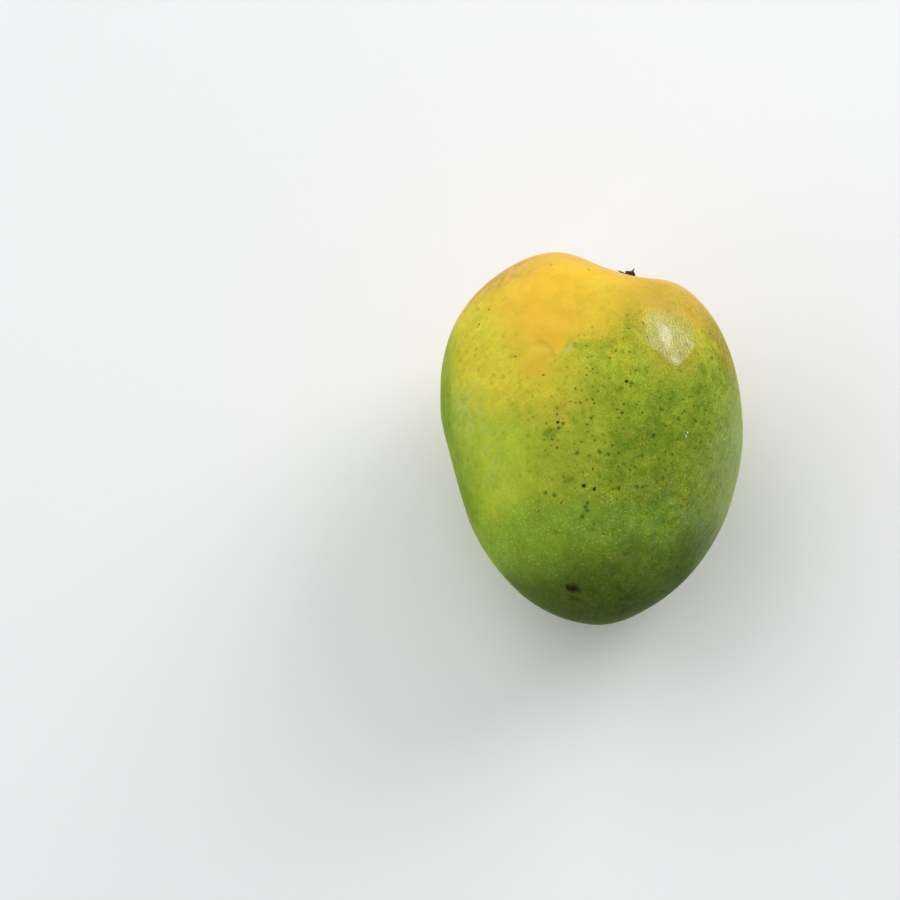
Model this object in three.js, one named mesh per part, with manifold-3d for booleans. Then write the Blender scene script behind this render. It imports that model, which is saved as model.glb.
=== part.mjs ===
// A single mango, as picked, lying on one cheek.
//
// Units are millimetres and +Z is up. The origin is on the surface that the fruit lies on, under the middle
// of its bounding box. +Y runs from the tip to the stem end, and +X from the belly edge to the back edge.
//
// The fruit grew as one piece, so it is one solid. The woody stub left by the broken stalk is the other one.

import * as THREE from "three";
import { mergeVertices } from "three/addons/utils/BufferGeometryUtils.js";
import Module from "manifold-3d";

const wasm = await Module();
wasm.setup();

// ---- Driving dimensions -----------------------------------------------------------------------------------

const LENGTH = 116.5; // crown of the belly shoulder to the tip
const WIDTH = 92.6; // belly edge to back edge
const THICKNESS = 79; // from cheek to cheek

// The outline seen on a cheek, as shares of the half width and half length, with 0, 0 in the middle. It runs
// from the crown of the belly shoulder over the stem end, down the back edge, round the tip and up the belly.
const OUTLINE = [
  [-0.24, 1.0], // crown of the belly shoulder
  [0.06, 0.917],
  [0.343, 0.85], // stem end
  [0.573, 0.819], // back shoulder
  [0.775, 0.69],
  [0.937, 0.429],
  [1.0, 0.07], // widest point of the back edge
  [0.95, -0.26],
  [0.79, -0.57],
  [0.487, -0.845],
  [0.07, -1.0], // tip
  [-0.39, -0.88],
  [-0.72, -0.58],
  [-0.918, -0.119],
  [-1.0, 0.21], // widest point of the belly edge
  [-0.91, 0.6],
  [-0.62, 0.875],
];

// The cheeks curve like an oval whose middle, the thickest place, lies nearer to the stem than to the tip.
const CHEEK = { x: 1.5, y: 8, sideRadius: 46, stemRadius: 50, tipRadius: 62 };
const OUTLINE_ENDS = 0.45; // sine of the latitude up to which a section follows the outline alone
const CHEEK_BEGINS = 1; // and from which it follows the cheek oval alone
const FULLNESS = 0.02; // how far a section stands out past an ellipse, between edge and cheek

// The stem basin, the socket in it and the stub all lie on the stalk's axis, which leans from +Y by degrees.
const STEM = { x: 12, y: 48, z: 6.5, leanX: 5, leanZ: 16 };
const BASIN = { depth: 2.2, radius: 7.5 };
const STUB = { footRadius: 2.2, neckRadius: 1.6, headRadius: 1.8, height: 6.8, sunk: 1.2 };
const STUB_FOOT_ENDS = 2; // height of the foot
const STUB_NECK = 3.4; // height of the neck
const BREAK = { height: 5, tilt: -5 }; // where the stalk broke off, and the slope of the break in degrees
const SPLINTER = { side: 1, rootRadius: 0.6, root: 4, tip: 6 }; // stands up from the break, off the axis
const SOCKET_GAP = 0.3;

// The shallow dimple near the tip, on the upper cheek, that carries the scar of the flower.
const SCAR = { x: -7, y: -51, z: 17, depth: 0.7, radius: 3 };

// How the fruit lies: the tip end sinks a little, and the cheek under it is pressed flat.
const REST_PITCH = 4.6; // degrees, tip down
const FLAT_DEPTH = 1;

const SPHERE_DETAIL = 18; // the fruit has 20 (detail + 1)^2 triangles
const OUTLINE_STEPS = 40; // samples between two points of the outline
const STUB_SIDES = 20;
const SPLINTER_SIDES = 10;

const SKIN = { color: new THREE.Color(0.5, 0.58, 0.1), roughness: 0.38, metalness: 0 };
const WOOD = { color: new THREE.Color(0.09, 0.06, 0.045), roughness: 0.85, metalness: 0 };

// ---- Solids -----------------------------------------------------------------------------------------------

// A closed geometry as a solid, with its shared vertices merged.
function solidOf(geometry) {
  const bare = geometry.clone();
  bare.deleteAttribute("normal");
  bare.deleteAttribute("uv");
  const merged = mergeVertices(bare, 1e-4);
  return new wasm.Manifold(
    new wasm.Mesh({
      numProp: 3,
      vertProperties: merged.attributes.position.array,
      triVerts: new Uint32Array(merged.index.array),
    }),
  );
}

function geometryOf(solid) {
  const mesh = solid.getMesh();
  const geometry = new THREE.BufferGeometry();
  geometry.setAttribute("position", new THREE.BufferAttribute(mesh.vertProperties, 3));
  geometry.setIndex(new THREE.BufferAttribute(mesh.triVerts, 1));
  geometry.computeVertexNormals();
  return geometry;
}

// What is left of a geometry after another one is cut away.
function cut(geometry, tool) {
  return geometryOf(solidOf(geometry).subtract(solidOf(tool)));
}

// Two geometries as one.
function join(geometry, other) {
  return geometryOf(solidOf(geometry).add(solidOf(other)));
}

// ---- The fruit --------------------------------------------------------------------------------------------

const degrees = THREE.MathUtils.degToRad;

// The outline in polar form about the thickest place: [angle, radius], by rising angle.
function polarOutline() {
  const points = OUTLINE.map(
    ([x, y]) => new THREE.Vector3((x * WIDTH) / 2 - CHEEK.x, (y * LENGTH) / 2 - CHEEK.y, 0),
  );
  const curve = new THREE.CatmullRomCurve3(points, true, "centripetal");
  const polar = curve
    .getPoints(OUTLINE.length * OUTLINE_STEPS)
    .slice(1)
    .map((p) => [Math.atan2(p.y, p.x), Math.hypot(p.x, p.y)])
    .sort((a, b) => a[0] - b[0]);
  const [first, last] = [polar[0], polar[polar.length - 1]];
  const turn = 2 * Math.PI;
  return [[last[0] - turn, last[1]], ...polar, [first[0] + turn, first[1]]];
}

const POLAR = polarOutline();

function outlineRadius(angle) {
  const i = POLAR.findIndex(([a]) => a > angle);
  const [[a0, r0], [a1, r1]] = [POLAR[i - 1], POLAR[i]];
  return THREE.MathUtils.mapLinear(angle, a0, a1, r0, r1);
}

function cheekRadius(angle) {
  const endRadius = Math.sin(angle) > 0 ? CHEEK.stemRadius : CHEEK.tipRadius;
  return 1 / Math.hypot(Math.cos(angle) / CHEEK.sideRadius, Math.sin(angle) / endRadius);
}

// The point of the plain body, without its dimples, for a direction seen from the thickest place.
function bodyPoint(direction) {
  const angle = Math.atan2(direction.y, direction.x);
  const height = Math.abs(direction.z);
  const across = Math.hypot(direction.x, direction.y);
  const cheek = THREE.MathUtils.smoothstep(height, OUTLINE_ENDS, CHEEK_BEGINS);
  const radius = THREE.MathUtils.lerp(outlineRadius(angle), cheekRadius(angle), cheek);
  const full = 1 + FULLNESS * (2 * height * across) ** 2;
  return new THREE.Vector3(
    CHEEK.x + radius * across * full * Math.cos(angle),
    CHEEK.y + radius * across * full * Math.sin(angle),
    (THICKNESS / 2) * direction.z * full,
  );
}

const STEM_FOOT = new THREE.Vector3(STEM.x, STEM.y, STEM.z);
const STEM_AXIS = new THREE.Vector3(
  Math.tan(degrees(STEM.leanX)),
  1,
  Math.tan(degrees(STEM.leanZ)),
).normalize();

const SCAR_SPOT = new THREE.Vector3(SCAR.x, SCAR.y, SCAR.z);
const SCAR_AXIS = SCAR_SPOT.clone().normalize();

// Presses a point in along an axis through a spot: full depth on the axis, fading out over the radius.
function press(point, spot, axis, { depth, radius }) {
  if (point.dot(axis) < 0) return;
  const away = point.clone().sub(spot);
  const along = away.dot(axis);
  const offSquared = Math.max(0, away.lengthSq() - along * along);
  point.addScaledVector(axis, -depth * Math.exp(-offSquared / (radius * radius)));
}

function fruitSurface() {
  const geometry = new THREE.IcosahedronGeometry(1, SPHERE_DETAIL);
  const position = geometry.attributes.position;
  const direction = new THREE.Vector3();
  for (let i = 0; i < position.count; i++) {
    direction.fromBufferAttribute(position, i).normalize();
    const point = bodyPoint(direction);
    press(point, STEM_FOOT, STEM_AXIS, BASIN);
    press(point, SCAR_SPOT, SCAR_AXIS, SCAR);
    position.setXYZ(i, point.x, point.y, point.z);
  }
  return geometry;
}

// ---- The stub ---------------------------------------------------------------------------------------------

// The stalk as a lathed shape on +Y, grown outwards by a gap where it is to cut the socket.
function stalk(gap) {
  const { footRadius, neckRadius, headRadius, height } = STUB;
  const profile = [
    new THREE.Vector2(0, -gap),
    new THREE.Vector2(footRadius + gap, -gap),
    new THREE.Vector2(footRadius + gap, STUB_FOOT_ENDS),
    new THREE.Vector2(neckRadius + gap, STUB_NECK),
    new THREE.Vector2(headRadius + gap, height),
    new THREE.Vector2(0, height),
  ];
  return new THREE.LatheGeometry(profile, STUB_SIDES);
}

// What lies beyond the break, as a tilted box.
function beyondBreak() {
  const size = 3 * STUB.height;
  return new THREE.BoxGeometry(size, size, size)
    .translate(0, size / 2, 0)
    .rotateZ(degrees(BREAK.tilt))
    .translate(0, BREAK.height, 0);
}

function splinter() {
  const length = SPLINTER.tip - SPLINTER.root;
  return new THREE.ConeGeometry(SPLINTER.rootRadius, length, SPLINTER_SIDES)
    .translate(SPLINTER.side, SPLINTER.root + length / 2, 0);
}

// How far along the stalk's axis the floor of the basin lies.
function basinFloor(surface) {
  const start = STEM_FOOT.clone().addScaledVector(STEM_AXIS, LENGTH);
  const ray = new THREE.Raycaster(start, STEM_AXIS.clone().negate());
  const [hit] = ray.intersectObject(new THREE.Mesh(surface, new THREE.MeshBasicMaterial()));
  return LENGTH - hit.distance;
}

// Carries the stalk from the origin to the basin, with its foot sunk into the floor.
function stalkPlace(surface) {
  const turn = new THREE.Quaternion().setFromUnitVectors(new THREE.Vector3(0, 1, 0), STEM_AXIS);
  const foot = STEM_FOOT.clone().addScaledVector(STEM_AXIS, basinFloor(surface) - STUB.sunk);
  return new THREE.Matrix4().compose(foot, turn, new THREE.Vector3(1, 1, 1));
}

// ---- Assembly ---------------------------------------------------------------------------------------------

const surface = fruitSurface();
const place = stalkPlace(surface);
const pitch = new THREE.Matrix4().makeRotationX(degrees(REST_PITCH));

const fruitPitched = cut(surface, stalk(SOCKET_GAP).applyMatrix4(place)).applyMatrix4(pitch);
const stubPitched = join(cut(stalk(0), beyondBreak()), splinter()).applyMatrix4(place).applyMatrix4(pitch);

// The middle of the flat becomes the origin, and what lies under it is cut away.
fruitPitched.computeBoundingBox();
const { min, max } = fruitPitched.boundingBox;
const settled = new THREE.Matrix4().makeTranslation(
  -(min.x + max.x) / 2,
  -(min.y + max.y) / 2,
  -(min.z + FLAT_DEPTH),
);
const ground = new THREE.BoxGeometry(2 * WIDTH, 2 * LENGTH, THICKNESS).translate(0, 0, -THICKNESS / 2);

const fruit = new THREE.Mesh(
  cut(fruitPitched.applyMatrix4(settled), ground),
  new THREE.MeshStandardMaterial(SKIN),
);
fruit.name = "mango_fruit";

const stub = new THREE.Mesh(stubPitched.applyMatrix4(settled), new THREE.MeshStandardMaterial(WOOD));
stub.name = "stem_stub";

const root = new THREE.Group();
root.name = "mango";
root.add(fruit, stub);

export default root;
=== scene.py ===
"""A mango that lies on one cheek, seen from above.

Everything is in metres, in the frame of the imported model: +Y runs from the tip to the stem end, +X from
the belly edge to the back edge, and the fruit rests on z = 0. The materials, the marks and the stub's
shape are given in millimetres, and MM turns those into metres.
"""

import math

import bmesh
import bpy
import numpy as np
from mathutils import Matrix, Vector, noise
from mathutils.bvhtree import BVHTree


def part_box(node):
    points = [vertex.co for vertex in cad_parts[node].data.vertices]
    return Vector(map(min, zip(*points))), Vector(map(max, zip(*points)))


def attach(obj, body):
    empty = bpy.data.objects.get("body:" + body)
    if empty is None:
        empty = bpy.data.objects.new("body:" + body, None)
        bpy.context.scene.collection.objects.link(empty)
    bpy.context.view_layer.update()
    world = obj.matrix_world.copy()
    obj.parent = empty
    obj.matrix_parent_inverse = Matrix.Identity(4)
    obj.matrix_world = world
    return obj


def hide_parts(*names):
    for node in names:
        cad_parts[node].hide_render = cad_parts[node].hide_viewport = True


MM = 0.001

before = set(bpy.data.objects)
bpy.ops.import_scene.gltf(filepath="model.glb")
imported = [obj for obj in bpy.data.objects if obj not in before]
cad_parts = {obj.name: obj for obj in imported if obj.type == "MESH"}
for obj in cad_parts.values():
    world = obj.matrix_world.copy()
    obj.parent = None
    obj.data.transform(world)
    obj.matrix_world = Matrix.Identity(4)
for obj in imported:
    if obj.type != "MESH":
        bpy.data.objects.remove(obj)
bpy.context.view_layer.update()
fruit_low, fruit_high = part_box("mango_fruit")
middle = (fruit_low + fruit_high) / 2

# The stalk's axis leans from +Y, in degrees, sideways and up.
STALK_LEAN = {"side": 5, "up": 20.6}


def find_stalk():
    """The stub's frame: its origin in the middle of the foot, +Z along the stalk, +X near the world's."""
    sideways, upwards = (math.tan(math.radians(STALK_LEAN[name])) for name in ("side", "up"))
    axis = Vector((sideways, 1, upwards)).normalized()
    corners = [v.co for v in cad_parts["stem_stub"].data.vertices]
    lowest = min(c.dot(axis) for c in corners)
    foot = [c for c in corners if c.dot(axis) < lowest + 0.01 * MM]
    side = (Vector((1, 0, 0)) - axis.x * axis).normalized()
    turn = Matrix((side, axis.cross(side), axis)).transposed()
    return Matrix.Translation(sum(foot, Vector()) / len(foot)) @ turn.to_4x4()


stalk_frame = find_stalk()
stalk_axis = stalk_frame.col[2].xyz
stalk_foot = stalk_frame.translation.copy()


# ---- Camera and light ----------------------------------------------------------------------------

CAMERA_ELEVATION = 70  # degrees above the floor, looking along +Y
CAMERA_DISTANCE = 0.652
CAMERA_LEFT = 0.0432  # the fruit stands right of the picture's middle, and a little above it
CAMERA_BELOW = 0.0043
LENS = 85


def make_camera():
    up_angle = math.radians(CAMERA_ELEVATION)
    back = Vector((0, -math.cos(up_angle), math.sin(up_angle)))
    right = Vector((1, 0, 0))
    up = back.cross(right)
    data = bpy.data.cameras.new("camera")
    data.lens = LENS
    data.sensor_width = 36
    data.clip_start = 0.01
    camera = bpy.data.objects.new("camera", data)
    camera.location = middle + back * CAMERA_DISTANCE - right * CAMERA_LEFT - up * CAMERA_BELOW
    camera.rotation_euler = (-back).to_track_quat("-Z", "Y").to_euler()
    bpy.context.scene.collection.objects.link(camera)
    bpy.context.scene.camera = camera


def softbox(name, direction, distance, width, height, power, turn=0, shape="RECTANGLE"):
    """An area light that faces the fruit from a direction, turned about its own axis by degrees."""
    data = bpy.data.lights.new(name, "AREA")
    data.shape = shape
    data.size = width
    data.size_y = height
    data.energy = power
    light = bpy.data.objects.new(name, data)
    away = Vector(direction).normalized()
    light.location = middle + away * distance
    light.rotation_euler = (-away).to_track_quat("-Z", "Y").to_euler()
    light.rotation_euler.rotate_axis("Z", math.radians(turn))
    bpy.context.scene.collection.objects.link(light)


SKY_TOWARDS = (-0.15, 0.5, 0.85)  # where the studio's even light is strongest
SKY_STARTS = -0.25  # cosine of the angle from there at which the light is at its weakest
SKY_DIM = 0.10
SKY_BRIGHT = 0.74
SKY_COLOR = (0.96, 0.98, 1.0)


def make_sky():
    """Soft light from all round, stronger from above and behind, so that the near side falls off."""
    world = bpy.data.worlds.new("studio")
    bpy.context.scene.world = world
    world.use_nodes = True
    nodes, links = world.node_tree.nodes, world.node_tree.links
    place = nodes.new("ShaderNodeTexCoord")
    facing = nodes.new("ShaderNodeVectorMath")
    facing.operation = "DOT_PRODUCT"
    facing.inputs[1].default_value = Vector(SKY_TOWARDS).normalized()
    strength = nodes.new("ShaderNodeMapRange")
    strength.interpolation_type = "SMOOTHSTEP"
    strength.inputs["From Min"].default_value = SKY_STARTS
    strength.inputs["From Max"].default_value = 1
    strength.inputs["To Min"].default_value = SKY_DIM
    strength.inputs["To Max"].default_value = SKY_BRIGHT
    background = nodes["Background"]
    background.inputs["Color"].default_value = (*SKY_COLOR, 1)
    links.new(place.outputs["Generated"], facing.inputs[0])
    links.new(facing.outputs["Value"], strength.inputs["Value"])
    links.new(strength.outputs["Result"], background.inputs["Strength"])


def make_light():
    """A low oval key lamp, which the gloss on the back shoulder mirrors, and two wide soft ones."""
    softbox("key", (0.645, 0.675, 0.35), 1.6, width=0.95, height=1.7, power=18.5, turn=20, shape="ELLIPSE")
    softbox("left", (-0.62, 0.50, 0.62), 2.6, width=2.8, height=2.8, power=27)
    softbox("front_left", (-0.90, -0.26, 0.50), 2.6, width=2.4, height=2.4, power=14)
    make_sky()
    bpy.context.scene.view_settings.view_transform = "Standard"


# ---- Meshes --------------------------------------------------------------------------------------

GRID = 32  # squares along each side of the cube that the fruit's net starts as
SUBDIVISIONS = 2
SOCKET_COVER = 4.4 * MM  # the net bridges the stub's socket, within this distance of the stalk's axis
BRIDGING = 30  # rounds of smoothing there
EVENING = 3  # rounds of smoothing all over, which take away the CAD solid's facets
STEM_SIDE = -10 * MM  # places above this, along the stalk's axis, are at the stem end


def cube_net(per_side):
    """A cube's grid of squares, blown up to a sphere of radius 1."""
    net = bmesh.new()
    bmesh.ops.create_cube(net, size=2)
    bmesh.ops.subdivide_edges(net, edges=net.edges[:], cuts=per_side - 1, use_grid_fill=True)
    for vertex in net.verts:
        vertex.co = Vector(math.tan(c * math.pi / 4) for c in vertex.co).normalized()
    return net


def off_axis(point):
    """How far a point is from the stalk's axis, on the stem side."""
    away = point - stalk_foot
    along = away.dot(stalk_axis)
    return (away - along * stalk_axis).length if along > STEM_SIDE else math.inf


def smooth(net, vertices, rounds):
    for _ in range(rounds):
        bmesh.ops.smooth_vert(
            net, verts=vertices, factor=0.5, use_axis_x=True, use_axis_y=True, use_axis_z=True
        )


def wrap(net, node):
    """Draws the net out onto the CAD solid, bridges its socket and evens out its facets."""
    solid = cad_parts[node].data
    tree = BVHTree.FromPolygons(
        [v.co for v in solid.vertices], [tuple(p.vertices) for p in solid.polygons]
    )
    for vertex in net.verts:
        vertex.co = tree.ray_cast(middle, vertex.co)[0]
    smooth(net, [v for v in net.verts if off_axis(v.co) < SOCKET_COVER], BRIDGING)
    smooth(net, net.verts, EVENING)


def object_of(name, net, levels=0):
    """An object from a bmesh, subdivided for good."""
    mesh = bpy.data.meshes.new(name)
    net.to_mesh(mesh)
    net.free()
    piece = bpy.data.objects.new(name, mesh)
    bpy.context.scene.collection.objects.link(piece)
    if levels:
        modifier = piece.modifiers.new("subdivision", "SUBSURF")
        modifier.levels = modifier.render_levels = levels
        graph = bpy.context.evaluated_depsgraph_get()
        piece.data = bpy.data.meshes.new_from_object(piece.evaluated_get(graph))
        piece.modifiers.clear()
    piece.data.shade_smooth()
    return piece


def coordinates(mesh):
    flat = np.empty(3 * len(mesh.vertices))
    mesh.vertices.foreach_get("co", flat)
    return flat.reshape(-1, 3)


def normals(mesh):
    flat = np.empty(3 * len(mesh.vertices))
    mesh.vertex_normals.foreach_get("vector", flat)
    return flat.reshape(-1, 3)


def waves(points, wavelength, seed):
    """Smooth noise from about -1 to 1 at each point."""
    shift = Vector((seed, -seed, 2 * seed))
    return np.array([noise.noise(Vector(p) / wavelength + shift) for p in points])


def smoothstep(low, high, value):
    share = np.clip((value - low) / (high - low), 0, 1)
    return share * share * (3 - 2 * share)


# ---- The fruit -----------------------------------------------------------------------------------

PUCKERS = 8  # folds in the skin round the stub
PUCKER_DEPTH = 0.32
FURROW = {"depth": 0.3, "radius": 3.1, "width": 0.7}  # round the foot of the stub, in millimetres
LIP = {"depth": -0.65, "radius": 4.3, "width": 1.1}  # stands up round the furrow


def ring(off, shape):
    """The depth of a furrow or a lip, at distances from the stalk's axis."""
    return shape["depth"] * np.exp(-(((off - shape["radius"]) / shape["width"]) ** 2))


def stem_puckers(points):
    """Depth, in millimetres, of the folds that run out from the stub, and of the rings round it."""
    away = points - np.array(stalk_foot)
    local = away @ np.array(stalk_frame.to_3x3())
    off = np.hypot(local[:, 0], local[:, 1]) / MM
    angle = np.arctan2(local[:, 1], local[:, 0])
    round_way = np.stack([np.cos(angle), np.sin(angle), 0 * angle], 1)
    wander = waves(round_way, 0.8, 17)
    folds = (0.5 - 0.5 * np.cos(PUCKERS * angle + 2.5 * wander)) * (0.7 + 0.5 * waves(round_way, 0.5, 23))
    near = smoothstep(2.6, 4.5, off) * (1 - smoothstep(6, 12, off))
    depth = PUCKER_DEPTH * folds * near + ring(off, FURROW) + ring(off, LIP)
    return depth * (local[:, 2] > STEM_SIDE)


SCAR_PLACE = (-7, -52, 50.5)  # in the dimple near the tip, in millimetres
SCAR_RADII = (2.0, 1.3, 1.5)
SCAR_DEPTH = 0.45


def flower_pit(points):
    """Depth, in millimetres, of the torn pit that the flower left."""
    away = (points / MM - SCAR_PLACE) / SCAR_RADII
    off = np.linalg.norm(away, axis=1) + 0.35 * waves(points, 1.3 * MM, 29)
    return SCAR_DEPTH * (1 - smoothstep(0.4, 1.3, off))


def kept_within(points, low, high, margin=0.4 * MM):
    """Eases the points that come near to the sides of a box, so that none is outside it."""
    over = np.maximum(points - (high - margin), 0)
    under = np.maximum((low + margin) - points, 0)
    points = points - over + margin * (1 - np.exp(-over / margin))
    return points + under - margin * (1 - np.exp(-under / margin))


SWELL = 0.25  # makes up, in millimetres, for what smoothing takes away
UNEVENNESS = [(0.30, 24, 3), (0.12, 10, 7), (0.02, 3.5, 11)]  # height and length in millimetres, and seed


def shape_fruit(piece):
    """Gives the plain body the unevenness of a grown fruit, within its box."""
    points = coordinates(piece.data)
    height = SWELL + sum(size * waves(points, length * MM, seed) for size, length, seed in UNEVENNESS)
    height -= stem_puckers(points) + flower_pit(points)
    height *= smoothstep(0.2 * MM, 4 * MM, points[:, 2])  # the flat that it rests on stays flat
    points += normals(piece.data) * height[:, None] * MM
    above = np.array([*fruit_low[:2], -math.inf])
    points = kept_within(points, above, np.array(fruit_high))
    piece.data.vertices.foreach_set("co", points.ravel())
    piece.data.update()


def make_fruit():
    net = cube_net(GRID)
    wrap(net, "mango_fruit")
    fruit = object_of("fruit", net, SUBDIVISIONS)
    shape_fruit(fruit)
    fruit.data.materials.append(skin_material())
    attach(fruit, "root")
    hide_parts("mango_fruit")


# ---- The skin ------------------------------------------------------------------------------------

# Colours are linear red, green and blue. Places and sizes on the skin are in millimetres.
GOLD = (0.77, 0.485, 0.040)
SPECKLED_GOLD = (0.70, 0.50, 0.042)
ORANGE = (0.74, 0.46, 0.045)
OLD_GOLD = (0.54, 0.40, 0.036)
TAN = (0.54, 0.36, 0.042)
RUST = (0.33, 0.27, 0.026)
DULL_GOLD = (0.40, 0.36, 0.034)
# pale tint of the crown's rim: partly the skin's colour, partly painted sheen of the bright surroundings
PEACH_AND_RIM_SHEEN = (0.65, 0.40, 0.09)
YELLOW = (0.67, 0.57, 0.047)
LIME = (0.43, 0.53, 0.038)
OLIVE = (0.375, 0.44, 0.036)
GREEN = (0.25, 0.345, 0.028)
LEAF_GREEN = (0.175, 0.30, 0.008)
LOW_GREEN = (0.24, 0.395, 0.033)
# the tip's dark green: partly the unripe skin's colour, partly painted shade
TIP_GREEN_AND_SHADE = (0.088, 0.145, 0.017)
DARK_GREEN = (0.05, 0.12, 0.012)
# painted shade, darkest over the tip
PAINTED_TIP_SHADE = (0.045, 0.07, 0.005)
SPECK_OLIVE = (0.47, 0.44, 0.04)
SPECK_ORANGE = (0.66, 0.40, 0.05)
# grey bloom, on the back edge partly painted sheen
BLOOM_AND_SHEEN = (0.31, 0.40, 0.19)
# pale wax, partly painted sheen
WAX_AND_SHEEN = (0.44, 0.55, 0.13)
SMUDGE = (0.30, 0.21, 0.075)
PALE_STREAK = (0.60, 0.56, 0.13)
LENTICEL_GLOW = (2.05, 1.85, 4.6)  # how much paler the pores are than the skin round them
MOTTLE = (0.55, 0.76, 0.60)  # how much darker the soft freckles are
YELLOW_DOT = (0.60, 0.60, 0.06)
# the colour of painted glints
PAINTED_GLINT_WHITE = (0.70, 0.78, 0.62)
FRECKLE = (0.24, 0.28, 0.04)
RED = (0.55, 0.13, 0.016)
TAN_DOT = (0.42, 0.25, 0.06)
DARK_DOT = (0.045, 0.055, 0.010)
BLACK = (0.016, 0.012, 0.008)
BROWN = (0.17, 0.058, 0.018)
DARK_BROWN = (0.07, 0.035, 0.012)
CORK = (0.20, 0.125, 0.055)

# Areas of one ground colour: the colour, the middle, the radii, how soft the edge is, and the strength.
AREAS = [
    (LIME, (-31, -17, 60), (15, 24, 20), 0.45, 1.0),
    (YELLOW, (-28, 16, 66), (17, 18, 24), 0.40, 0.95),
    (YELLOW, (-18.5, 4.5, 76), (15, 12, 12), 0.50, 0.75),
    (GREEN, (25, -14, 66), (20, 21, 22), 0.40, 1.0),
    (GREEN, (8, -19, 75), (8, 9, 8), 0.45, 0.65),
    (GREEN, (36, 7, 63), (8, 11, 12), 0.50, 0.8),
    (LEAF_GREEN, (-49, 0, 34), (10, 38, 32), 0.60, 0.8),
    (LEAF_GREEN, (-42, -28, 40), (9, 18, 24), 0.60, 0.9),
    (SPECKLED_GOLD, (-1, 25, 77), (10, 9.5, 10), 0.30, 0.9),
    (OLD_GOLD, (9, 24, 76), (6, 9, 8), 0.60, 0.7),
    (TAN, (21, 38, 64), (22, 16.5, 20), 0.30, 0.95),
    (OLD_GOLD, (8, 50, 62), (11, 8, 12), 0.60, 0.5),
    (OLIVE, (10.5, 17.5, 77), (3.8, 9, 7), 0.80, 0.35),
    (OLIVE, (-29.5, 41, 60), (2.5, 6, 6), 0.80, 0.5),
    (DULL_GOLD, (22.5, 17, 74), (9, 9.5, 8), 0.40, 0.8),
    (RUST, (41, 24, 54), (10, 14, 16), 0.45, 0.9),
    (GOLD, (-11, 48, 44), (24, 30, 48), 0.32, 1.0),
    (GOLD, (-14, 27, 76), (10, 14, 14), 0.35, 1.0),
    (ORANGE, (-23.5, 22, 71), (4, 8, 7), 0.80, 0.6),
    (ORANGE, (-26, 31, 67), (5, 7, 8), 0.80, 0.45),
]
LOBE = (-17.0, 10.5, 75)  # a round orange patch at the end of the gold
LOBE_RADII = (4.6, 5.6, 7)
# pale wax on the belly edge, partly painted sheen
WAX_AND_SHEEN_AREAS = [  # middle, radii and strength
    ((-38, 1, 60), (5, 7, 7), 0.9),
    ((-41.5, -16, 53), (3, 14, 6), 0.4),
    ((-32, -14, 62), (9, 16, 10), 0.35),
]
WAX_AND_SHEEN_NET = 2.2  # size of its meshes

# The middle and the radii of more areas.
# the crown's rim, where a painted sheen lies
PAINTED_RIM_SHEEN_AREA = ((5, 56, 42), (60, 32, 26))
# where painted shade darkens the back edge near the tip, and the tip itself
PAINTED_SIDE_SHADE_AREA = ((32, -45, 44), (17, 17, 17))
PAINTED_TIP_SHADE_AREA = ((2, -64, 30), (36, 12, 20))
SPECKLED = ((2, 26, 74), (13, 11, 14))
FRECKLED = ((-31, 19, 66), (9, 15, 14))
DARK_SPECKED = ((15, -9, 70), (27, 25, 24))
DARK_PORED = ((13, -5, 72), (33, 33, 30))
# the back edge, where the bloom is partly painted sheen
BLOOM_AND_SHEEN_AREA = ((48, -26, 48), (16, 34, 26))
HAZY = ((19, -37, 60), (20, 14, 16))
SMUDGED = ((-28, 44, 56), (10, 9, 11))
GLOSSY = ((22, 15, 73), (12, 13, 14))

GLOSS_TIP = (23.3, 7.6)  # x and y of the lower end of the gloss, which widens from there to both sides
GLOSS_SIDES = (0.75, 1.4)  # the slopes of its two lower sides
GLOSS_WEIGHT = 0.18  # of the whole glossy patch
LINE_WEIGHT = 0.55  # and what the fine lines in it add to that
LINE_HEIGHT = 0.006
SATIN = 0.022  # how strongly the skin itself mirrors: low, or its far edges look grey

# Marks on the upper cheek: the x and y of each, for marks of one colour and radius.
GOLD_TONGUE = [(-11.5, 15.5)]
PALE_STREAKS = [(-8.5, 13)]
BLACK_SPOTS = [(-12, -9), (8, 2.5), (-4.5, -27), (-1.5, -28)]
GREEN_BLOTS = [
    (-10.5, -9.5), (9.5, 2), (-15.5, -28), (-13, -29), (-6.5, -18), (0, -18), (2.5, -18.5),
    (-3.5, -31.5), (-4, -32.5), (-3.5, -33.5), (-5, -35), (34.5, 14.5), (28.5, -6.5),
]
OLIVE_CLOUDS = [(-15, -11.5), (-13, -12), (-9, -25.5), (6, 0), (31, 3.5), (31, 10)]
BROWN_SPECKS = [
    (-34.5, 26.5), (-34.5, 32.5), (-31.5, 31), (-24, 12.5), (-16, 5.5), (14.5, 17),
    (10.5, -44.5), (7.5, -44.5), (-1.5, -37), (1, -39.5),
]
TAN_SPECKS = [(8, -13), (9, -13), (26.5, -8), (-11.5, -8)]
# painted glints: tiny white dots in place of sparkles of reflected light
PAINTED_GLINTS = [(25.5, -11.5), (26, -10.5), (38, -9)]
RED_SPECKS = [(-13, 44.5), (-12.5, 45)]
SCRATCHES = [(-2, -22.5), (-11, -31), (-17.5, -32.5)]
LONG_SCRATCHES = [(13.5, 21.5), (-1.5, 42.5)]
POLISHED = [(20.2, 18.2)]  # the brightest part of the gloss
POLISHED_END = [(22.8, 10.6)]  # and the lower end of that
FLOWER_SCAR = [(SCAR_PLACE, (2.7, 1.4, 1.4), 0.95), ((-6.5, -54, 47), (2.0, 0.8, 1.2), 0.6)]


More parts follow.
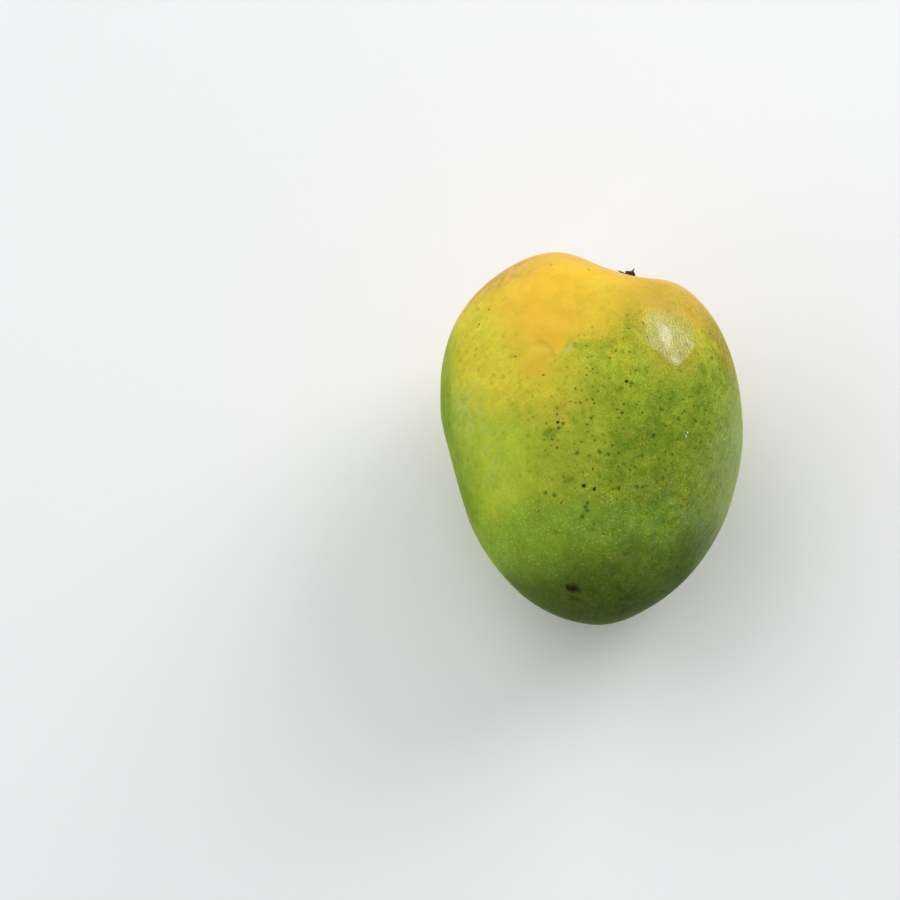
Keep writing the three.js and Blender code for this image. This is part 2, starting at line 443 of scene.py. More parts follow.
class Tree:
    """Makes the nodes of one material. An input is a number, a colour, a vector or another node's socket."""

    def __init__(self, name):
        self.material = bpy.data.materials.new(name)
        self.material.use_nodes = True
        self.nodes = self.material.node_tree.nodes
        self.links = self.material.node_tree.links
        self.shader = self.nodes["Principled BSDF"]

    def put(self, value, socket):
        if isinstance(value, bpy.types.NodeSocket):
            self.links.new(value, socket)
        elif socket.type == "RGBA":
            socket.default_value = (*value, 1)
        else:
            socket.default_value = value

    def set(self, **values):
        """Gives the shader its inputs, whose names are written with underscores here."""
        for name, value in values.items():
            self.put(value, self.shader.inputs[name.replace("_", " ")])

    def node(self, kind, inputs, **settings):
        made = self.nodes.new("ShaderNode" + kind)
        for name, value in settings.items():
            setattr(made, name, value)
        for name, value in inputs.items():
            self.put(value, made.inputs[name])
        return made

    def place(self):
        """The place on the piece in millimetres, in its own frame."""
        here = self.node("TexCoord", {}).outputs["Object"]
        return self.vector("MULTIPLY", here, (1 / MM,) * 3)

    def math(self, operation, *values):
        return self.node("Math", dict(enumerate(values)), operation=operation).outputs[0]

    def times(self, *values):
        product = values[0]
        for value in values[1:]:
            product = self.math("MULTIPLY", product, value)
        return product

    def vector(self, operation, a, b=(0, 0, 0)):
        made = self.node("VectorMath", {0: a, 1: b}, operation=operation)
        a_number = operation in ("LENGTH", "DISTANCE", "DOT_PRODUCT")
        return made.outputs["Value" if a_number else "Vector"]

    def axis(self, where, name):
        return self.node("SeparateXYZ", {"Vector": where}).outputs[name]

    def turned(self, where, turn):
        """The same place, turned so that a direction at so many degrees from +X lies along +X."""
        inputs = {"Vector": where, "Angle": math.radians(-turn)}
        return self.node("VectorRotate", inputs, rotation_type="Z_AXIS").outputs["Vector"]

    def shifted(self, where, seed):
        """The same place for seed 0, and for others one elsewhere in the noise."""
        return self.vector("ADD", where, (seed, seed, seed)) if seed else where

    def ramp(self, value, start, end, low=0.0, high=1.0):
        """Goes smoothly from low, at start, to high, at end."""
        inputs = {"Value": value, "From Min": start, "From Max": end, "To Min": low, "To Max": high}
        return self.node("MapRange", inputs, interpolation_type="SMOOTHSTEP").outputs["Result"]

    def mix(self, share, a, b, blend="MIX"):
        made = self.node("Mix", {}, data_type="RGBA", blend_type=blend)
        for name, value in (("Factor_Float", share), ("A_Color", a), ("B_Color", b)):
            self.put(value, next(i for i in made.inputs if i.identifier == name))
        return next(o for o in made.outputs if o.identifier == "Result_Color")

    def vary(self, color, noise, strength, dark, bright):
        """Multiplies a colour by something between dark and bright, by a noise around 0.5."""
        tint = self.mix(self.ramp(noise, 0.28, 0.72), dark, bright)
        return self.mix(strength, color, tint, "MULTIPLY")

    def noise(self, where, size, detail=2.0, roughness=0.5, seed=0.0, output="Fac"):
        """Noise around 0.5 whose largest features are about size across."""
        inputs = {"Vector": self.shifted(where, seed), "Scale": 1 / size}
        inputs.update({"Detail": detail, "Roughness": roughness})
        return self.node("TexNoise", inputs).outputs[output]

    def strokes(self, where, turn, length, size, detail=2.0, seed=0.0):
        """Noise drawn out by length along a direction, in degrees from +X."""
        along = self.vector("MULTIPLY", self.turned(where, turn), (1 / length, 1, 1))
        return self.noise(along, size, detail, seed=seed)

    def lines(self, where, turn, pitch, wander):
        """Wavy lines along a direction, in degrees from +X: 0 in the hollows and 1 on the crests."""
        drift = self.noise(where, 6, detail=3, roughness=0.55, seed=turn)
        across = self.math("MULTIPLY_ADD", drift, wander, self.axis(self.turned(where, turn), "Y"))
        return self.ramp(self.math("SINE", self.times(across, 2 * math.pi / pitch)), -1, 1)

    def warped(self, where, size, amount, detail=3):
        """The same place, moved about at random. Most moves are less than a third of the amount."""
        wander = self.noise(where, size, detail, output="Color")
        wander = self.vector("SUBTRACT", wander, (0.5, 0.5, 0.5))
        if not isinstance(amount, bpy.types.NodeSocket):
            amount = (amount,) * 3
        return self.vector("ADD", where, self.vector("MULTIPLY", wander, amount))

    def dots(self, where, spacing, radius, soft=0.3, seed=0.0):
        """Round dots scattered in space: a mask, and a random number for each dot."""
        inputs = {"Vector": self.shifted(where, seed), "Scale": 1 / spacing}
        cells = self.node("TexVoronoi", inputs, feature="F1").outputs
        lot = self.node("SeparateColor", {"Color": cells["Color"]}).outputs["Red"]
        return self.ramp(self.times(cells["Distance"], spacing), radius, soft * radius), lot

    def area(self, where, centre, radii, edge):
        """1 inside an ellipsoid and 0 outside, with a soft edge."""
        away = self.vector("DIVIDE", self.vector("SUBTRACT", where, centre), radii)
        return self.ramp(self.vector("LENGTH", away), 1 + edge, 1 - edge)

    def marks(self, where, places, radius, soft=0.3, turn=0, length=1):
        """Marks at the given x and y: round, or drawn out along a direction, in degrees from +X."""
        angle = math.radians(turn)
        if turn:
            where = self.turned(where, turn)
        where = self.vector("MULTIPLY", where, (1 / length, 1, 0))
        near = None
        for x, y in places:
            along = x * math.cos(angle) + y * math.sin(angle)
            across = y * math.cos(angle) - x * math.sin(angle)
            distance = self.vector("DISTANCE", where, (along / length, across, 0))
            near = distance if near is None else self.math("MINIMUM", near, distance)
        return self.ramp(near, radius, soft * radius)

    def bump(self, relief, height=1):
        """The normal of a surface whose relief, where it is 1, rises by a height in millimetres."""
        inputs = {"Height": self.times(relief, height * MM), "Distance": 1.0, "Strength": 1.0}
        return self.node("Bump", inputs).outputs["Normal"]


def ground_color(tree, where):
    """The ground colour of the skin, from the dark green tip, partly painted shade, to the golden shoulder,
    with a painted sheen on the crown's rim.
    """
    low_down = tree.ramp(tree.axis(where, "Z"), 54, 28, high=34)  # the borders wander further there
    loose = tree.warped(where, 24, low_down)
    loose = tree.warped(tree.warped(loose, 28, 7), 6, 6, detail=4)
    color = tree.mix(tree.ramp(tree.axis(loose, "Y"), 2, 32), OLIVE, YELLOW)
    for area_color, centre, radii, edge, strength in AREAS:
        mask = tree.area(loose, centre, radii, edge)
        color = tree.mix(tree.times(mask, strength), color, area_color)
    color = with_lobe(tree, where, with_tongue(tree, where, color))
    # painted sheen: a pale tint along the crown's rim, partly the skin's colour, partly a grazing reflection
    # painted in
    rim_sheen = tree.area(tree.warped(tree.warped(where, 20, low_down), 9, 5), *PAINTED_RIM_SHEEN_AREA, edge=0.25)
    color = tree.mix(tree.times(rim_sheen, 0.8), color, PEACH_AND_RIM_SHEEN)
    return with_tip_green_and_shade(tree, where, loose, color)


def with_tongue(tree, where, color):
    """A narrow tongue of gold, on the upper cheek, that runs on into the green."""
    place = tree.warped(where, 4, 1.2)
    tongue = tree.marks(place, GOLD_TONGUE, 2.5, soft=0.6, turn=72, length=1.9)
    above = tree.ramp(tree.axis(where, "Z"), 40, 50)
    return tree.mix(tree.times(tongue, above), color, GOLD)


def with_lobe(tree, where, color):
    """The orange patch: patchy itself, with a crisp, darker rim on the side of the stem."""
    place = tree.warped(tree.warped(where, 9, 4), 1.5, 1.0, detail=4)
    away = tree.vector("SUBTRACT", place, LOBE)
    distance = tree.vector("LENGTH", tree.vector("DIVIDE", away, LOBE_RADII))
    slanted = tree.math("MULTIPLY_ADD", tree.axis(away, "X"), 1.3, tree.axis(away, "Y"))
    stem_side = tree.ramp(slanted, 0, 7)
    crisp = tree.times(tree.ramp(distance, 1.08, 0.9), stem_side)
    orange = tree.math("MAXIMUM", crisp, tree.ramp(distance, 1.7, 0.2, high=0.85))
    patchy = tree.noise(where, 2.2, detail=4, roughness=0.6, seed=15)
    orange = tree.times(orange, tree.ramp(patchy, 0.3, 0.6, low=0.5))
    color = tree.mix(orange, color, ORANGE)
    rim = tree.times(tree.ramp(distance, 0.7, 1.0), tree.ramp(distance, 1.15, 1.0), stem_side, 0.7)
    return tree.mix(rim, color, OLD_GOLD)


def with_tip_green_and_shade(tree, where, loose, color):
    """Darker towards the tip, partly green skin and partly painted shade, more painted shade over the tip,
    less on the lower cheek.
    """
    along = tree.axis(loose, "Y")
    height = tree.axis(tree.warped(where, 16, 22, detail=4), "Z")
    less_below = tree.ramp(height, 14, 42, low=0.35)
    color = tree.mix(tree.ramp(along, -25, -35, high=0.9), color, LOW_GREEN)
    color = tree.mix(tree.times(tree.ramp(along, -35, -55), less_below), color, TIP_GREEN_AND_SHADE)
    # painted shade on the back edge near the tip
    color = tree.mix(tree.times(tree.area(loose, *PAINTED_SIDE_SHADE_AREA, edge=0.5), 0.8), color, TIP_GREEN_AND_SHADE)
    # painted shade over the tip, weaker on the lower cheek
    shade = tree.area(tree.warped(where, 14, 20, detail=4), *PAINTED_TIP_SHADE_AREA, edge=0.8)
    return tree.mix(tree.times(shade, less_below, 0.6), color, PAINTED_TIP_SHADE)


def speckled(tree, where, color):
    """Orange and olive specks where the gold meets the green, and faint clouds in the gold."""
    clouds = tree.noise(tree.warped(where, 6, 5), 6, detail=4, roughness=0.6, seed=51)
    color = tree.vary(color, clouds, 1.0, dark=(0.94, 0.90, 0.82), bright=(1.03, 1.05, 1.10))
    patch = tree.area(tree.warped(where, 7, 9), *SPECKLED, edge=0.5)
    olive = tree.noise(tree.warped(where, 2, 2), 3.4, detail=4, roughness=0.65, seed=84)
    olive = tree.ramp(olive, 0.48, 0.64, high=0.45)
    color = tree.mix(tree.times(patch, olive), color, SPECK_OLIVE)
    orange = tree.noise(where, 1.5, detail=3, roughness=0.6, seed=38)
    orange = tree.ramp(orange, 0.48, 0.68, high=0.5)
    return tree.mix(tree.times(patch, orange), color, SPECK_ORANGE)


def how_green(tree, color):
    """0 on gold skin and 1 on green, from the share of red to green."""
    parts = tree.node("SeparateColor", {"Color": color})
    return tree.ramp(tree.math("DIVIDE", parts.outputs["Red"], parts.outputs["Green"]), 1.58, 1.02)


def mottled(tree, where, color, green):
    """Clouds of darker and brighter green, from large to small, and soft freckles. Gold skin has few."""
    to_back = tree.ramp(tree.axis(tree.warped(where, 15, 15), "X"), -18, 10, low=0.42)
    under_gloss = tree.ramp(tree.area(where, *GLOSSY, edge=0.3), 0, 1, low=1, high=0.35)
    strength = tree.times(tree.ramp(green, 0.2, 1, low=0.12), to_back, under_gloss)
    clouds = tree.noise(tree.warped(where, 8, 6), 9, detail=5, roughness=0.62, seed=60)
    color = tree.vary(color, clouds, strength, dark=(0.74, 0.84, 0.80), bright=(1.12, 1.09, 1.05))
    small = tree.noise(where, 2.6, detail=3, roughness=0.6, seed=60)
    color = tree.vary(color, small, strength, dark=(0.76, 0.86, 0.80), bright=(1.19, 1.12, 1.10))
    freckle, lot = tree.dots(tree.warped(where, 1.5, 1.5), spacing=2.6, radius=1.25, soft=0.1, seed=17)
    share = tree.times(freckle, tree.ramp(lot, 0.25, 1, high=0.85), tree.ramp(green, 0.1, 0.6))
    return tree.mix(share, color, MOTTLE, "MULTIPLY")


def with_grain(tree, where, color, green, grain, brushed):
    """The fine grain of the skin, stronger where it is green, and drawn out along the back edge; partly
    painted shading of its relief.
    """
    across = tree.axis(tree.warped(where, 15, 15), "X")
    strength = tree.times(tree.ramp(green, 0, 1, low=0.2), tree.ramp(across, -16, 14, low=0.34))
    color = tree.vary(color, grain, strength, dark=(0.70, 0.77, 0.66), bright=(1.30, 1.21, 1.24))
    strength = tree.ramp(across, 12, 34)
    return tree.vary(color, brushed, strength, dark=(0.84, 0.87, 0.85), bright=(1.14, 1.12, 1.14))


def with_pale_pores(tree, where, color):
    """Raised pores, much paler than the skin, thick on the tip half. Also gives their mask."""
    along = tree.axis(tree.warped(where, 12, 12), "Y")
    slanted = tree.math("MULTIPLY_ADD", tree.axis(where, "X"), -0.25, along)
    uneven = tree.ramp(tree.noise(where, 6, detail=3, seed=70), 0.35, 0.6, low=0.35)
    strength = tree.times(tree.ramp(slanted, -14, -33, low=0.04), uneven)
    pores, lot = tree.dots(tree.warped(where, 0.7, 0.4), spacing=0.85, radius=0.39, soft=0.15)
    pores = tree.times(pores, tree.ramp(lot, 0, 1, low=0.35), strength)
    return pores, tree.mix(pores, color, LENTICEL_GLOW, "MULTIPLY")


def with_yellow_dots(tree, where, color, green):
    """Yellow dots in the green, fewer at the tip and on the belly side."""
    off_tip = tree.ramp(tree.axis(tree.warped(where, 12, 12), "Y"), -32, -18, low=0.15)
    off_belly = tree.ramp(tree.axis(where, "X"), -25, 0, low=0.4)
    dots, lot = tree.dots(tree.warped(where, 0.7, 0.4), spacing=2.1, radius=0.45, soft=0.2, seed=53)
    lot = tree.ramp(lot, 0.4, 1, high=0.6)
    share = tree.times(dots, lot, green, tree.times(off_tip, off_belly))
    return tree.mix(share, color, YELLOW_DOT)


def with_dark_pores(tree, where, color, green):
    """Small dark pores over the middle of the fruit, and tiny ones. Also gives the first ones' mask."""
    place = tree.warped(where, 0.7, 0.4)
    inside = tree.area(tree.warped(where, 10, 12), *DARK_PORED, edge=0.35)
    inside = tree.times(inside, tree.math("SUBTRACT", 1, tree.area(where, *GLOSSY, edge=0.3)))
    pores, lot = tree.dots(place, spacing=1.75, radius=0.59, soft=0.15, seed=31)
    lot = tree.ramp(lot, 0.05, 0.9, low=0.05, high=0.9)
    pores = tree.times(pores, lot, tree.ramp(inside, 0, 1, low=0.06))
    color = tree.mix(tree.times(pores, tree.ramp(green, 0.2, 0.9)), color, DARK_DOT)
    tiny, lot = tree.dots(place, spacing=1.2, radius=0.34, soft=0.2, seed=91)
    lot = tree.ramp(lot, 0.3, 1, high=0.5)
    tiny = tree.times(tiny, lot, tree.ramp(inside, 0, 1, low=0.25), green)
    return pores, tree.mix(tiny, color, DARK_DOT)


def freckles(tree, where, place):
    """Soft freckles on the gold near the belly edge."""
    dots, lot = tree.dots(place, spacing=3.6, radius=1.15, soft=0.1, seed=23)
    return tree.times(dots, tree.ramp(lot, 0, 0.6, low=0.4), tree.area(where, *FRECKLED, edge=0.3))


def dark_specks(tree, where, place):
    """Small dark specks in the green of the upper cheek."""
    dots, lot = tree.dots(place, spacing=4.4, radius=0.86, soft=0.25, seed=67)
    return tree.times(dots, tree.ramp(lot, 0.1, 0.5), tree.area(where, *DARK_SPECKED, edge=0.3))


def with_marks(tree, where, color):
    """Spots, blots, specks and scratches of the one fruit, and painted glints. Also gives the mask of the
    black spots.
    """
    place = tree.warped(where, 0.9, 0.8, detail=2)
    ragged = tree.warped(where, 2.2, 4.5, detail=4)
    bent = tree.warped(where, 3, 1.2)
    spots = tree.marks(place, BLACK_SPOTS, 0.68, soft=0.4)
    layers = [  # each one's mask, strength and colour, from the lowest up
        (freckles(tree, where, place), 0.55, FRECKLE),
        (tree.marks(ragged, OLIVE_CLOUDS, 2.4, soft=0.1), 0.45, DARK_GREEN),
        (tree.marks(place, GREEN_BLOTS, 0.95, soft=0.1), 0.85, DARK_GREEN),
        (dark_specks(tree, where, place), 0.9, DARK_DOT),
        (tree.marks(place, BROWN_SPECKS, 0.6, soft=0.2), 0.75, BROWN),
        (tree.marks(place, TAN_SPECKS, 0.7, soft=0.2), 0.7, TAN_DOT),
        (tree.marks(where, RED_SPECKS, 0.5, soft=0.2), 0.85, RED),
        # painted glints
        (tree.marks(place, PAINTED_GLINTS, 0.36, soft=0.4), 0.9, PAINTED_GLINT_WHITE),
        (tree.marks(place, SCRATCHES, 0.9, soft=0.2, turn=52, length=1.6), 0.35, YELLOW),
        (tree.marks(where, SCRATCHES, 0.30, turn=52, length=2.9), 1.0, DARK_BROWN),
        (tree.marks(where, LONG_SCRATCHES, 0.28, turn=-35, length=4), 0.8, DARK_BROWN),
        (tree.marks(bent, PALE_STREAKS, 1.0, turn=66, length=2.9), 0.5, PALE_STREAK),
        (spots, 0.95, BLACK),
    ]
    above = tree.ramp(tree.axis(where, "Z"), 34, 40)
    for mask, strength, layer_color in layers:
        color = tree.mix(tree.times(mask, above, strength), color, layer_color)
    return spots, color


def with_flower_scar(tree, where, color):
    """The torn black scar that the flower left near the tip."""
    torn = tree.noise(where, 0.8, detail=4, roughness=0.6, seed=19)
    torn = tree.ramp(torn, 0.3, 0.52, low=0.45)
    for centre, radii, strength in FLOWER_SCAR:
        scar = tree.area(tree.warped(where, 1.3, 4.2, detail=5), centre, radii, 0.6)
        color = tree.mix(tree.times(scar, torn, strength), color, BLACK)
    return color


def with_bloom_and_sheen(tree, where, color):
    """Grey bloom brushed over the back edge, partly painted sheen there, and a faint haze of it beside the
    tip.
    """
    brushed = tree.strokes(where, turn=62, length=4, size=0.9, detail=3, seed=12)
    brushed = tree.ramp(brushed, 0.3, 0.7, low=0.25, high=0.85)
    # bloom on the back edge, partly painted sheen
    bloom = tree.area(tree.warped(where, 14, 16), *BLOOM_AND_SHEEN_AREA, edge=0.6)
    color = tree.mix(tree.times(bloom, brushed), color, BLOOM_AND_SHEEN)
    cloudy = tree.noise(where, 3, detail=4, roughness=0.6, seed=66)
    cloudy = tree.ramp(cloudy, 0.38, 0.68, high=0.18)
    haze = tree.area(tree.warped(where, 8, 10), *HAZY, edge=0.7)
    return tree.mix(tree.times(haze, cloudy), color, BLOOM_AND_SHEEN)


def with_wax_and_sheen(tree, where, color):
    """Pale wax on the belly edge, in patches and along the lines of a net, partly painted sheen of light on
    that edge.
    """
    inputs = {"Vector": tree.warped(where, 2, 2.5), "Scale": 1 / WAX_AND_SHEEN_NET}
    net = tree.node("TexVoronoi", inputs, feature="DISTANCE_TO_EDGE").outputs["Distance"]
    netted = tree.ramp(net, 0.3, 0.02, low=0.3)
    patchy = tree.noise(where, 3.5, detail=4, roughness=0.65, seed=7)
    patchy = tree.ramp(patchy, 0.35, 0.65)
    for centre, radii, strength in WAX_AND_SHEEN_AREAS:
        # wax, partly painted sheen
        wax = tree.area(tree.warped(where, 6, 8), centre, radii, 0.7)
        color = tree.mix(tree.times(wax, netted, patchy, strength), color, WAX_AND_SHEEN)
    return color


def with_smudge(tree, where, color):
    """A brown smudge on the belly shoulder, drawn out along the skin."""
    streaks = tree.strokes(where, turn=39, length=2, size=1.6, detail=4, seed=30)
    clouds = tree.noise(where, 4, detail=4, roughness=0.6, seed=33)
    drawn = tree.ramp(tree.math("ADD", streaks, clouds), 0.78, 1.25, low=0.08, high=0.72)
    smudge = tree.area(tree.warped(where, 8, 12, detail=4), *SMUDGED, edge=0.9)
    return tree.mix(tree.times(smudge, drawn), color, SMUDGE)


def with_stem_end(tree, where, color):
    """Brown cork round the stub, with a ragged edge, and a little rust round that."""
    away = tree.vector("SUBTRACT", where, stalk_foot / MM)
    along = tree.vector("DOT_PRODUCT", away, stalk_axis)
    lift = tree.node("VectorMath", {0: stalk_axis, "Scale": along}, operation="SCALE").outputs["Vector"]
    distance = tree.vector("DISTANCE", away, lift)
    uneven = tree.noise(where, 1.6, detail=4, roughness=0.65, seed=90)
    ragged = tree.math("MULTIPLY_ADD", uneven, 3.5, distance)
    stem_side = tree.ramp(along, -12, -8)
    rust = tree.ramp(ragged, 9.5, 4.5, high=0.4)
    color = tree.mix(tree.times(rust, stem_side), color, RUST)
    cork = tree.ramp(ragged, 5.5, 4.3, high=0.9)
    return tree.mix(tree.times(cork, stem_side), color, CORK)


def gloss_outline(tree, where):
    """1 on the glossy patch, which is rounded at the stem side and pointed at its lower end."""
    round_part = tree.area(tree.warped(where, 6, 3), *GLOSSY, edge=0.5)
    place = tree.warped(where, 3, 1.6)
    aside = tree.math("SUBTRACT", tree.axis(place, "X"), GLOSS_TIP[0])
    left, right = tree.times(aside, -GLOSS_SIDES[0]), tree.times(aside, GLOSS_SIDES[1])
    above_tip = tree.math("SUBTRACT", tree.axis(place, "Y"), GLOSS_TIP[1])
    between = tree.math("SUBTRACT", above_tip, tree.math("MAXIMUM", left, right))
    return tree.times(round_part, tree.ramp(between, -0.5, 0.9))


def polished_core(tree, where):
    """The brightest part of the gloss, broken up by lines across it."""
    place = tree.warped(where, 3, 2)
    core = tree.marks(place, POLISHED, 2.7, turn=102, length=2.3)
    end = tree.marks(place, POLISHED_END, 2.4, soft=0.1)
    lines = tree.ramp(tree.lines(where, turn=14, pitch=0.7, wander=3), 0, 1, low=0.35, high=0.85)
    return tree.times(tree.math("MAXIMUM", core, end), lines)


def gloss_weight(tree, where, lines):
    """How much clear wax is on the skin: some all over the patch, more on the lines and the core."""
    uneven = tree.noise(where, 2.5, detail=4, roughness=0.6, seed=8)
    uneven = tree.ramp(uneven, 0.3, 0.7, low=0.3)
    weight = tree.math("MULTIPLY_ADD", tree.times(lines, uneven), LINE_WEIGHT, GLOSS_WEIGHT)
    weight = tree.math("ADD", weight, polished_core(tree, where))
    place = tree.warped(where, 4, 3)
    to_shoulder = tree.math("MULTIPLY_ADD", tree.axis(place, "X"), 0.6, tree.axis(place, "Y"))
    fading = tree.ramp(to_shoulder, 32.5, 39.5, low=1, high=0.35)
    return tree.times(gloss_outline(tree, where), weight, fading)


def set_gloss(tree, where):
    """A waxy gloss on the back shoulder, with fine lines along it, over satin skin."""
    lines = tree.lines(where, turn=105, pitch=0.95, wander=5)
    tree.set(
        Coat_Weight=gloss_weight(tree, where, lines),
        Coat_Roughness=0.05,
        Coat_IOR=1.65,
        Coat_Normal=tree.bump(lines, LINE_HEIGHT),
        Roughness=tree.ramp(tree.noise(where, 5, detail=3), 0.3, 0.7, low=0.40, high=0.52),
        Specular_IOR_Level=SATIN,
    )


def skin_height(tree, where, green, grain, brushed):
    """The fine relief of the skin in millimetres, without its marks: most on green skin and the back."""
    to_back = tree.axis(tree.warped(where, 10, 10), "X")
    leather = tree.times(brushed, tree.ramp(to_back, 12, 34, low=0.02, high=0.16))
    fine = tree.times(grain, tree.ramp(green, 0, 1, low=0.03, high=0.14))
    return tree.math("MULTIPLY_ADD", tree.noise(where, 3.5), 0.12, tree.math("ADD", leather, fine))


def skin_material():
    tree = Tree("mango_skin")
    where = tree.place()
    grain = tree.noise(where, 0.5, roughness=0.7, seed=25)
    brushed = tree.strokes(where, turn=62, length=3, size=0.75, seed=44)
    color = speckled(tree, where, ground_color(tree, where))
    green = how_green(tree, color)
    color = mottled(tree, where, color, green)
    color = with_grain(tree, where, color, green, grain, brushed)
    pale, color = with_pale_pores(tree, where, color)
    color = with_yellow_dots(tree, where, color, green)
    dark, color = with_dark_pores(tree, where, color, green)
    spots, color = with_marks(tree, where, color)
    for layer in (with_flower_scar, with_bloom_and_sheen, with_wax_and_sheen, with_smudge, with_stem_end):
        color = layer(tree, where, color)
    height = skin_height(tree, where, green, grain, brushed)
    for mask, rise in ((pale, 0.05), (dark, -0.03), (spots, -0.15)):  # in millimetres
        height = tree.math("MULTIPLY_ADD", mask, rise, height)
    tree.set(Base_Color=color, Normal=tree.bump(height))
    set_gloss(tree, where)
    return tree.material


# ---- The stub ------------------------------------------------------------------------------------

# The stub's sizes are in millimetres, in its own frame. Its side is given by radius and height, from the
# foot to the broken rim.
STUB_SIDE = [
    (2.1, 0.3),
    (2.5, 1.0),
    (2.75, 1.45),
    (2.3, 1.75),
    (1.8, 2.3),
    (1.6, 3.2),
    (1.58, 4.0),
    (1.72, 4.7),
]
RIM_RADIUS, RIM_HEIGHT = STUB_SIDE[-1]
BREAK_HEIGHT = 4.85
BREAK_DROP = 1.5  # how far the broken end falls away on its +X side
SPLINTER = {"x": 0.35, "y": -0.1, "radius": 0.6, "height": 1.4}
SPLINTER_LEAN = 0.55  # how far it leans towards +X for each millimetre of its height
STUB_BEND = 0.7  # how far the broken end has bent towards +X
STUB_AROUND = 120  # points in a ring
STUB_UP = 56  # rings up the side
STUB_INWARD = 26  # steps from the rim to the middle of the break

# A thin dry bract that still hangs on the stub: its middle line and radii.
BRACT = [(-1.1, -0.3, 3.8), (-1.8, -0.5, 4.2), (-2.6, -0.6, 4.45), (-3.5, -0.6, 4.85)]
BRACT_RADII = [0.36, 0.34, 0.26, 0.06]

DARK_WOOD = (0.022, 0.013, 0.008)
BROWN_WOOD = (0.085, 0.052, 0.030)
GREY_WOOD = (0.10, 0.085, 0.07)
TORN_WOOD = (0.20, 0.12, 0.06)
FIBRE_HEIGHT = 0.08


def break_height(x, y):
    """The torn surface of the broken end, over the stalk's section."""
    height = BREAK_HEIGHT - BREAK_DROP * (np.maximum(x + 0.3, 0) / 2.05) ** 3
    from_splinter = np.hypot(x - SPLINTER["x"], 1.5 * (y - SPLINTER["y"])) / SPLINTER["radius"]
    return height + SPLINTER["height"] * np.clip(1 - from_splinter, 0, 1) ** 1.3


def stub_points():
    """Rings of points from the foot up the side and in over the break, and the point that closes them."""
    angles = np.linspace(0, 2 * math.pi, STUB_AROUND, endpoint=False)
    profile = np.array(STUB_SIDE)
    share = np.linspace(0, len(profile) - 1, STUB_UP)
    radii, heights = (np.interp(share, np.arange(len(profile)), column) for column in profile.T)
    rings = []
    for radius, height in zip(radii, heights):
        x, y = radius * np.cos(angles), radius * np.sin(angles)
        near_rim = smoothstep(2.6, RIM_HEIGHT, height)
        rings.append(np.stack([x, y, height + near_rim * (break_height(x, y) - RIM_HEIGHT)], 1))
    for radius in RIM_RADIUS * (1 - np.arange(1, STUB_INWARD) / STUB_INWARD):
        x, y = radius * np.cos(angles), radius * np.sin(angles)
        rings.append(np.stack([x, y, break_height(x, y)], 1))
    points = np.concatenate(rings + [np.array([[0, 0, break_height(0.0, 0.0)]])])
    return points, len(rings)


def roughen_stub(points):
    """Ribs down the side, a ragged collar and torn fibres on the break."""
    x, y, z = points.T
    off = np.hypot(x, y)
    around = np.stack([x / np.maximum(off, 0.3), y / np.maximum(off, 0.3), z * 0.12], 1)
    ribs = waves(around, 0.16, 5) + 0.5 * waves(around, 0.07, 9)
    lumps = waves(points, 1.1, 21)
    collar = np.exp(-(((z - 1.4) / 0.45) ** 2)) * smoothstep(1.9, 2.5, off)
    grow = 0.07 * ribs + 0.10 * lumps + collar * 0.35 * waves(around, 0.45, 14)
    points[:, :2] *= 1 + (grow / np.maximum(off, 0.5))[:, None]
    section = np.stack([x, y, 0 * z], 1)
    fibres = waves(section, 0.30, 33) + 0.6 * waves(section, 0.13, 41)
    points[:, 2] += 0.16 * fibres * smoothstep(3.6, 4.6, z)
    points[:, 0] += STUB_BEND * smoothstep(1.8, 4.8, z) + SPLINTER_LEAN * np.maximum(z - BREAK_HEIGHT, 0)


def stub_net():
    """The closed net of the stub: rings of squares, a fan over the break and one face under the foot."""
    points, rings = stub_points()
    roughen_stub(points)
    net = bmesh.new()
    vertices = [net.verts.new(Vector(p) * MM) for p in points]
    for ring_start in range(0, (rings - 1) * STUB_AROUND, STUB_AROUND):
        for i in range(STUB_AROUND):
            a, b = ring_start + i, ring_start + (i + 1) % STUB_AROUND
            net.faces.new([vertices[j] for j in (a, b, b + STUB_AROUND, a + STUB_AROUND)])
    last = (rings - 1) * STUB_AROUND
    for i in range(STUB_AROUND):
        net.faces.new([vertices[last + i], vertices[last + (i + 1) % STUB_AROUND], vertices[-1]])
    net.faces.new([vertices[i] for i in reversed(range(STUB_AROUND))])
    return net


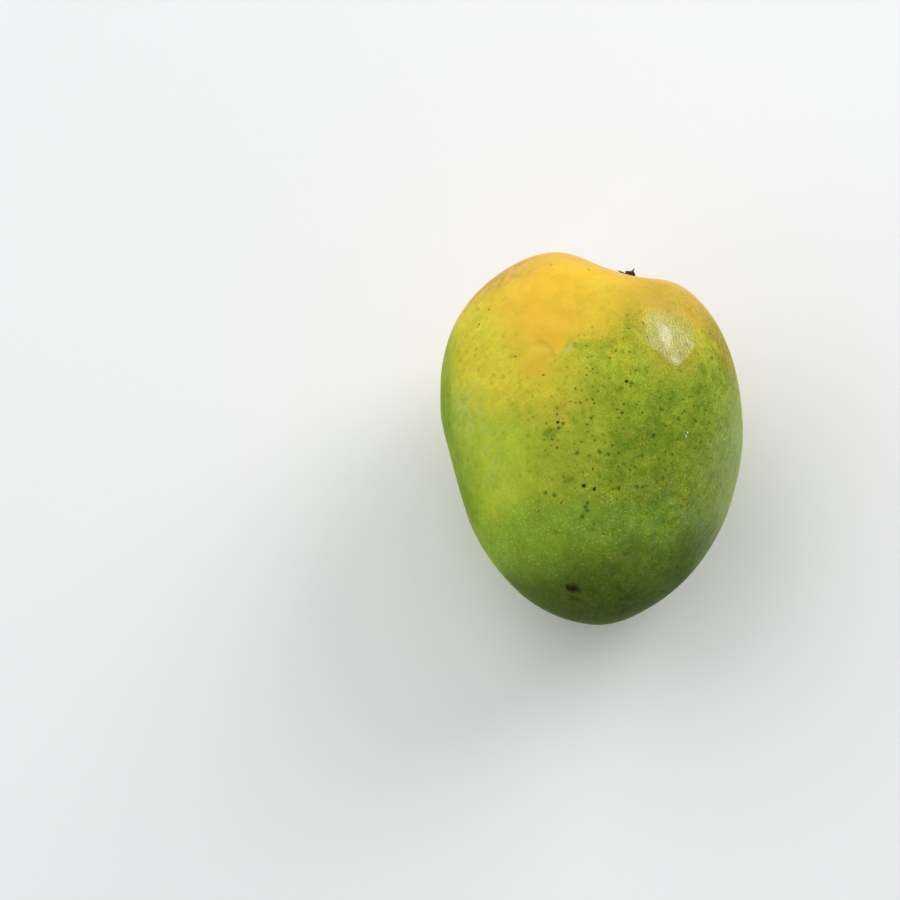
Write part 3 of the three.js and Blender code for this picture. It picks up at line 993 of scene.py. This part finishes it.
def tube(points, radii):
    """A closed tapered tube along a few points."""
    curve = bpy.data.curves.new("tube", "CURVE")
    curve.dimensions = "3D"
    curve.bevel_depth = 1
    curve.bevel_resolution = 3
    curve.use_fill_caps = True
    spline = curve.splines.new("NURBS")
    spline.points.add(len(points) - 1)
    for point, place, radius in zip(spline.points, points, radii):
        point.co = (*place, 1)
        point.radius = radius
    spline.use_endpoint_u = True
    spline.order_u = 3
    spline.resolution_u = 8
    holder = bpy.data.objects.new("tube", curve)
    mesh = bpy.data.meshes.new_from_object(holder)
    bpy.data.objects.remove(holder)
    return mesh


def wood_material():
    """Dry dark stalk with fibres along it and paler torn ends."""
    tree = Tree("stalk_wood")
    where = tree.place()
    fibres = tree.vector("MULTIPLY", where, (1, 1, 0.12))
    fibres = tree.noise(fibres, 0.25, detail=4, roughness=0.6)
    color = tree.mix(tree.ramp(fibres, 0.35, 0.65), DARK_WOOD, BROWN_WOOD)
    grey = tree.ramp(tree.noise(where, 1.5, detail=3, roughness=0.6), 0.45, 0.7)
    color = tree.mix(tree.times(grey, 0.5), color, GREY_WOOD)
    torn = tree.ramp(tree.math("ADD", tree.axis(where, "Z"), fibres), 5.4, 6.4, high=0.5)
    color = tree.mix(torn, color, TORN_WOOD)
    tree.set(
        Base_Color=color,
        Roughness=tree.ramp(fibres, 0.3, 0.7, low=0.65, high=0.85),
        Specular_IOR_Level=0.35,
        Normal=tree.bump(fibres, FIBRE_HEIGHT),
    )
    return tree.material


def make_stub():
    net = stub_net()
    net.from_mesh(tube([Vector(p) * MM for p in BRACT], [r * MM for r in BRACT_RADII]))
    stub = object_of("stub", net)
    stub.matrix_world = stalk_frame
    stub.data.materials.append(wood_material())
    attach(stub, "root")
    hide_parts("stem_stub")


# ---- The floor -----------------------------------------------------------------------------------

FLOOR_SIZE = 30
FLOOR_COLOR = (0.86, 0.86, 0.86)
UNDER_FRUIT = 0.1 * MM


def make_floor():
    net = bmesh.new()
    bmesh.ops.create_grid(net, size=FLOOR_SIZE)
    floor = object_of("floor", net)
    floor.location.z = -UNDER_FRUIT
    tree = Tree("floor")
    tree.set(Base_Color=FLOOR_COLOR, Roughness=0.9, Specular_IOR_Level=0.1)
    floor.data.materials.append(tree.material)


make_camera()
make_light()
make_fruit()
make_stub()
make_floor()
